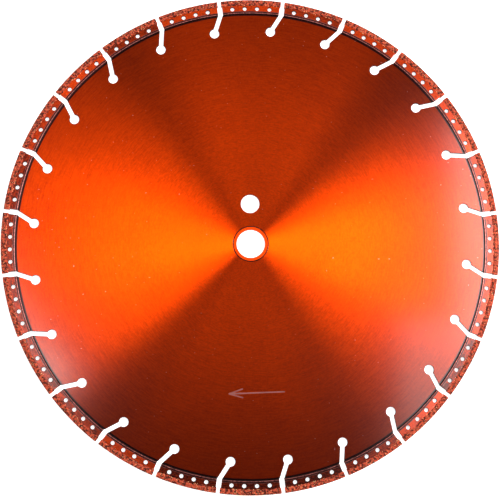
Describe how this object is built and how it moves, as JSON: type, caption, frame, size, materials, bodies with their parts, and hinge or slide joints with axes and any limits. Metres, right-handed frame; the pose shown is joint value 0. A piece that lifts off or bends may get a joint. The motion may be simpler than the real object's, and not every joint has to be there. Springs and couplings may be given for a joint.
{
  "type": "diamond blade",
  "caption": "Flat round cutting blade: slotted steel core, separate drilled rim segments coated in brazed diamond grit, a reducing bush in the bore and a drive-pin hole beside it.",
  "frame": {"origin": "centre of the bush's bore, halfway through the core's thickness", "axes": "+Z along the bore axis, out of the front face that carries the direction arrow; +Y from the bore towards the drive-pin hole"},
  "size_m": [0.355, 0.355, 0.0032],
  "materials": {
    "lacquered_core": "thin see-through orange lacquer over turned steel",
    "weld_metal": "laser weld bead under the same lacquer",
    "lacquered_bush": "turned steel ring under orange lacquer",
    "lacquered_segment": "orange lacquer over ground steel",
    "diamond_grit": "coarse diamond grit brazed on, lightly lacquered"
  },
  "bodies": {
    "blade": {"core": "lacquered_core", "weld_seams": "weld_metal", "segment_01": "lacquered_segment", "segment_02": "lacquered_segment", "segment_03": "lacquered_segment", "segment_04": "lacquered_segment", "segment_05": "lacquered_segment", "segment_06": "lacquered_segment", "segment_07": "lacquered_segment", "segment_08": "lacquered_segment", "segment_09": "lacquered_segment", "segment_10": "lacquered_segment", "segment_11": "lacquered_segment", "segment_12": "lacquered_segment", "segment_13": "lacquered_segment", "segment_14": "lacquered_segment", "segment_15": "lacquered_segment", "segment_16": "lacquered_segment", "segment_17": "lacquered_segment", "segment_18": "lacquered_segment", "segment_19": "lacquered_segment", "segment_20": "lacquered_segment", "segment_21": "lacquered_segment", "segment_22": "lacquered_segment", "segment_23": "lacquered_segment", "segment_24": "lacquered_segment", "diamond_coat_01": "diamond_grit", "diamond_coat_02": "diamond_grit", "diamond_coat_03": "diamond_grit", "diamond_coat_04": "diamond_grit", "diamond_coat_05": "diamond_grit", "diamond_coat_06": "diamond_grit", "diamond_coat_07": "diamond_grit", "diamond_coat_08": "diamond_grit", "diamond_coat_09": "diamond_grit", "diamond_coat_10": "diamond_grit", "diamond_coat_11": "diamond_grit", "diamond_coat_12": "diamond_grit", "diamond_coat_13": "diamond_grit", "diamond_coat_14": "diamond_grit", "diamond_coat_15": "diamond_grit", "diamond_coat_16": "diamond_grit", "diamond_coat_17": "diamond_grit", "diamond_coat_18": "diamond_grit", "diamond_coat_19": "diamond_grit", "diamond_coat_20": "diamond_grit", "diamond_coat_21": "diamond_grit", "diamond_coat_22": "diamond_grit", "diamond_coat_23": "diamond_grit", "diamond_coat_24": "diamond_grit"},
    "bush": {"reducing_bush": "lacquered_bush"}
  },
  "joints": [
    {"name": "bush_slide", "type": "slide", "parent": "blade", "child": "bush", "axis": [0, 0, 1], "range_m": [0, 0.012]}
  ]
}
